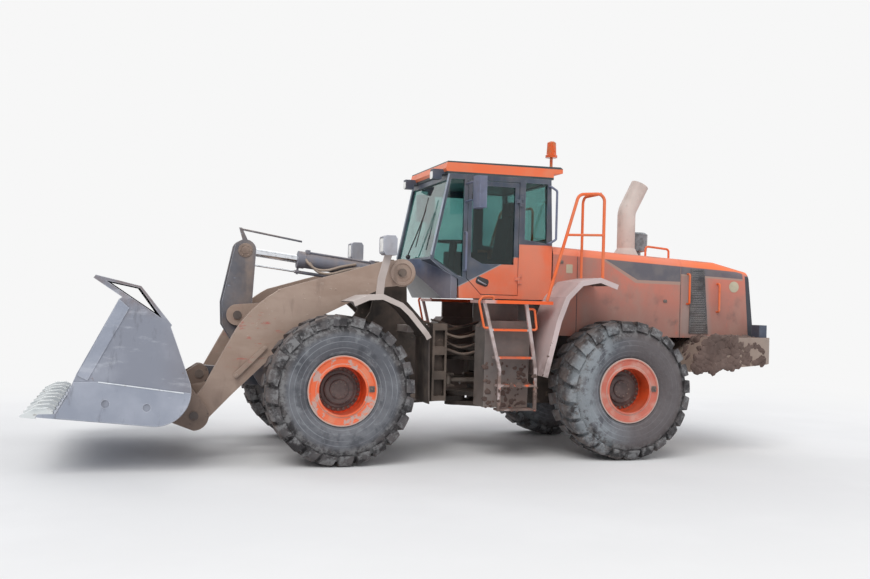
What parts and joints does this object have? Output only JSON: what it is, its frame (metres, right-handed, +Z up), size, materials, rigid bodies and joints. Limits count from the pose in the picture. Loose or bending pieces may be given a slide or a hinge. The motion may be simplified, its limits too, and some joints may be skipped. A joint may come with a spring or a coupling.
{
  "type": "articulated wheel loader",
  "caption": "Articulated wheel loader with a toothed bucket on a Z-bar boom, cab with opening door, ladders, handrails and large lugged tyres",
  "frame": {"origin": "middle of the whole machine's length and width, on the ground", "axes": "+X forward to the bucket, +Y to the machine's left, +Z up"},
  "size_m": [8.981, 3.2206, 3.8916],
  "materials": {
    "dusty_steel": "worn, dusty",
    "orange_paint": "worn, dusty",
    "faded_orange": "worn, dusty",
    "dark_paint": "worn, dusty",
    "tyre_rubber": "worn, dusty",
    "rim_orange": "worn, dusty",
    "bucket_steel": "worn, dusty",
    "tooth_steel": "worn, dusty",
    "cab_glass": "worn, dusty",
    "chrome_rod": "worn, dusty",
    "seat_black": "worn, dusty",
    "cast_grey": "worn, dusty",
    "flap_rubber": "worn, dusty",
    "lamp_lens": "worn, dusty",
    "stack_paint": "worn, dusty",
    "bowl_plastic": "worn, dusty"
  },
  "bodies": {
    "rear_body": {"rear_frame": "dusty_steel", "rear_axle": "cast_grey", "counterweight": "dusty_steel", "hood": "faded_orange", "grilles": "dark_paint", "engine_block": "cast_grey", "cab_frame": "dark_paint", "cab_glass": "cab_glass", "cab_roof": "orange_paint", "cab_nose": "dark_paint", "cab_seat": "seat_black", "platforms": "orange_paint", "side_tanks": "dusty_steel", "ladders": "orange_paint", "handrails": "orange_paint", "exhaust_stack": "stack_paint", "air_precleaner": "bowl_plastic", "beacon": "lamp_lens", "work_lamps": "dark_paint", "mirrors": "dark_paint", "rear_fenders": "dusty_steel"},
    "front_body": {"front_frame": "dusty_steel", "front_axle": "cast_grey", "front_fenders": "dusty_steel", "mud_flaps": "flap_rubber", "headlamps": "dark_paint"},
    "door_body": {"cab_door": "orange_paint", "door_glass": "cab_glass"},
    "boom_body": {"boom": "dusty_steel", "crank_pin": "cast_grey"},
    "bucket_body": {"bucket_shell": "bucket_steel", "bucket_wear_plates": "bucket_steel", "cutting_edge": "bucket_steel", "bucket_teeth": "tooth_steel", "bucket_ears": "dusty_steel", "bucket_pins": "cast_grey", "link_pin": "cast_grey"},
    "bellcrank_body": {"bellcrank": "dark_paint"},
    "link_body": {"tilt_link": "dark_paint"},
    "tilt_barrel_body": {"tilt_barrel": "dark_paint"},
    "tilt_rod_body": {"tilt_rod": "chrome_rod"},
    "lift_left_barrel_body": {"lift_left_barrel": "dark_paint"},
    "lift_left_rod_body": {"lift_left_rod": "chrome_rod"},
    "steer_left_barrel_body": {"steer_left_barrel": "dark_paint"},
    "steer_left_rod_body": {"steer_left_rod": "chrome_rod"},
    "lift_right_barrel_body": {"lift_right_barrel": "dark_paint"},
    "lift_right_rod_body": {"lift_right_rod": "chrome_rod"},
    "steer_right_barrel_body": {"steer_right_barrel": "dark_paint"},
    "steer_right_rod_body": {"steer_right_rod": "chrome_rod"},
    "front_left_wheel": {"front_left_tyre": "tyre_rubber", "front_left_rim": "rim_orange"},
    "front_right_wheel": {"front_right_tyre": "tyre_rubber", "front_right_rim": "rim_orange"},
    "rear_left_wheel": {"rear_left_tyre": "tyre_rubber", "rear_left_rim": "rim_orange"},
    "rear_right_wheel": {"rear_right_tyre": "tyre_rubber", "rear_right_rim": "rim_orange"}
  },
  "joints": [
    {"name": "steering", "type": "hinge", "parent": "rear_body", "child": "front_body", "pos_m": [-0.5405, 0, 0.9], "axis": [0, 0, 1], "range_deg": [-35, 35]},
    {"name": "boom_lift", "type": "hinge", "parent": "front_body", "child": "boom_body", "pos_m": [0.3795, 0, 2.18], "axis": [0, -1, 0], "range_deg": [-8, 80]},
    {"name": "bucket_tilt", "type": "hinge", "parent": "boom_body", "child": "bucket_body", "pos_m": [2.7595, 0, 0.5], "axis": [0, 1, 0], "range_deg": [-28, 115]},
    {"name": "bellcrank_turn", "type": "hinge", "parent": "boom_body", "child": "bellcrank_body", "pos_m": [2.2595, 0, 1.63], "axis": [0, -1, 0], "range_deg": [-11.08, 45.5]},
    {"name": "link_turn", "type": "hinge", "parent": "bucket_body", "child": "link_body", "pos_m": [2.6745, 0, 0.93], "axis": [0, -1, 0], "range_deg": [-21, 86.25]},
    {"name": "tilt_barrel_turn", "type": "hinge", "parent": "front_body", "child": "tilt_barrel_body", "pos_m": [0.3795, 0, 2.18], "axis": [0, -1, 0], "range_deg": [-8, 80]},
    {"name": "tilt_rod_slide", "type": "slide", "parent": "tilt_barrel_body", "child": "tilt_rod_body", "axis": [0.9926, 0, 0.1213], "range_m": [-0.53889, 0.13121]},
    {"name": "lift_left_barrel_turn", "type": "hinge", "parent": "front_body", "child": "lift_left_barrel_body", "pos_m": [0.1795, 0.5, 0.74], "axis": [0, -1, 0], "range_deg": [-3.45, 34.51]},
    {"name": "lift_left_rod_slide", "type": "slide", "parent": "lift_left_barrel_body", "child": "lift_left_rod_body", "axis": [0.8222, 0, 0.5692], "range_m": [-0.10177, 1.01773]},
    {"name": "steer_left_barrel_turn", "type": "hinge", "parent": "rear_body", "child": "steer_left_barrel_body", "pos_m": [-1.4405, 0.235, 0.88], "axis": [0, 0, 1], "range_deg": [-6.5, 6.5]},
    {"name": "steer_left_rod_slide", "type": "slide", "parent": "steer_left_barrel_body", "child": "steer_left_rod_body", "axis": [0.9977, 0.068, 0], "range_m": [-0.17464, 0.17464]},
    {"name": "lift_right_barrel_turn", "type": "hinge", "parent": "front_body", "child": "lift_right_barrel_body", "pos_m": [0.1795, -0.5, 0.74], "axis": [0, -1, 0], "range_deg": [-3.45, 34.51]},
    {"name": "lift_right_rod_slide", "type": "slide", "parent": "lift_right_barrel_body", "child": "lift_right_rod_body", "axis": [0.8222, 0, 0.5692], "range_m": [-0.10177, 1.01773]},
    {"name": "steer_right_barrel_turn", "type": "hinge", "parent": "rear_body", "child": "steer_right_barrel_body", "pos_m": [-1.4405, -0.235, 0.88], "axis": [0, 0, 1], "range_deg": [-6.5, 6.5]},
    {"name": "steer_right_rod_slide", "type": "slide", "parent": "steer_right_barrel_body", "child": "steer_right_rod_body", "axis": [0.9977, -0.068, 0], "range_m": [-0.17464, 0.17464]},
    {"name": "cab_door_swing", "type": "hinge", "parent": "rear_body", "child": "door_body", "pos_m": [-1.0565, 0.818, 2.6], "axis": [0, 0, 1], "range_deg": [0, 95]},
    {"name": "front_left_roll", "type": "hinge", "parent": "front_body", "child": "front_left_wheel", "pos_m": [1.2095, 1.12, 0.84], "axis": [0, 1, 0], "continuous": true},
    {"name": "front_right_roll", "type": "hinge", "parent": "front_body", "child": "front_right_wheel", "pos_m": [1.2095, -1.12, 0.84], "axis": [0, 1, 0], "continuous": true},
    {"name": "rear_left_roll", "type": "hinge", "parent": "rear_body", "child": "rear_left_wheel", "pos_m": [-2.2905, 1.12, 0.84], "axis": [0, 1, 0], "continuous": true},
    {"name": "rear_right_roll", "type": "hinge", "parent": "rear_body", "child": "rear_right_wheel", "pos_m": [-2.2905, -1.12, 0.84], "axis": [0, 1, 0], "continuous": true}
  ],
  "couplings": [
    {"joint": "bellcrank_turn", "follows": "bucket_tilt", "ratio": 0.39565},
    {"joint": "link_turn", "follows": "bucket_tilt", "ratio": 0.75},
    {"joint": "tilt_barrel_turn", "follows": "boom_lift", "ratio": 1},
    {"joint": "tilt_rod_slide", "follows": "bucket_tilt", "m_per_rad": -0.26849},
    {"joint": "lift_left_barrel_turn", "follows": "boom_lift", "ratio": 0.43133},
    {"joint": "lift_left_rod_slide", "follows": "boom_lift", "m_per_rad": 0.7289},
    {"joint": "steer_left_barrel_turn", "follows": "steering", "ratio": 0.1856},
    {"joint": "steer_left_rod_slide", "follows": "steering", "m_per_rad": -0.28589},
    {"joint": "lift_right_barrel_turn", "follows": "boom_lift", "ratio": 0.43133},
    {"joint": "lift_right_rod_slide", "follows": "boom_lift", "m_per_rad": 0.7289},
    {"joint": "steer_right_barrel_turn", "follows": "steering", "ratio": 0.1856},
    {"joint": "steer_right_rod_slide", "follows": "steering", "m_per_rad": 0.28589}
  ]
}
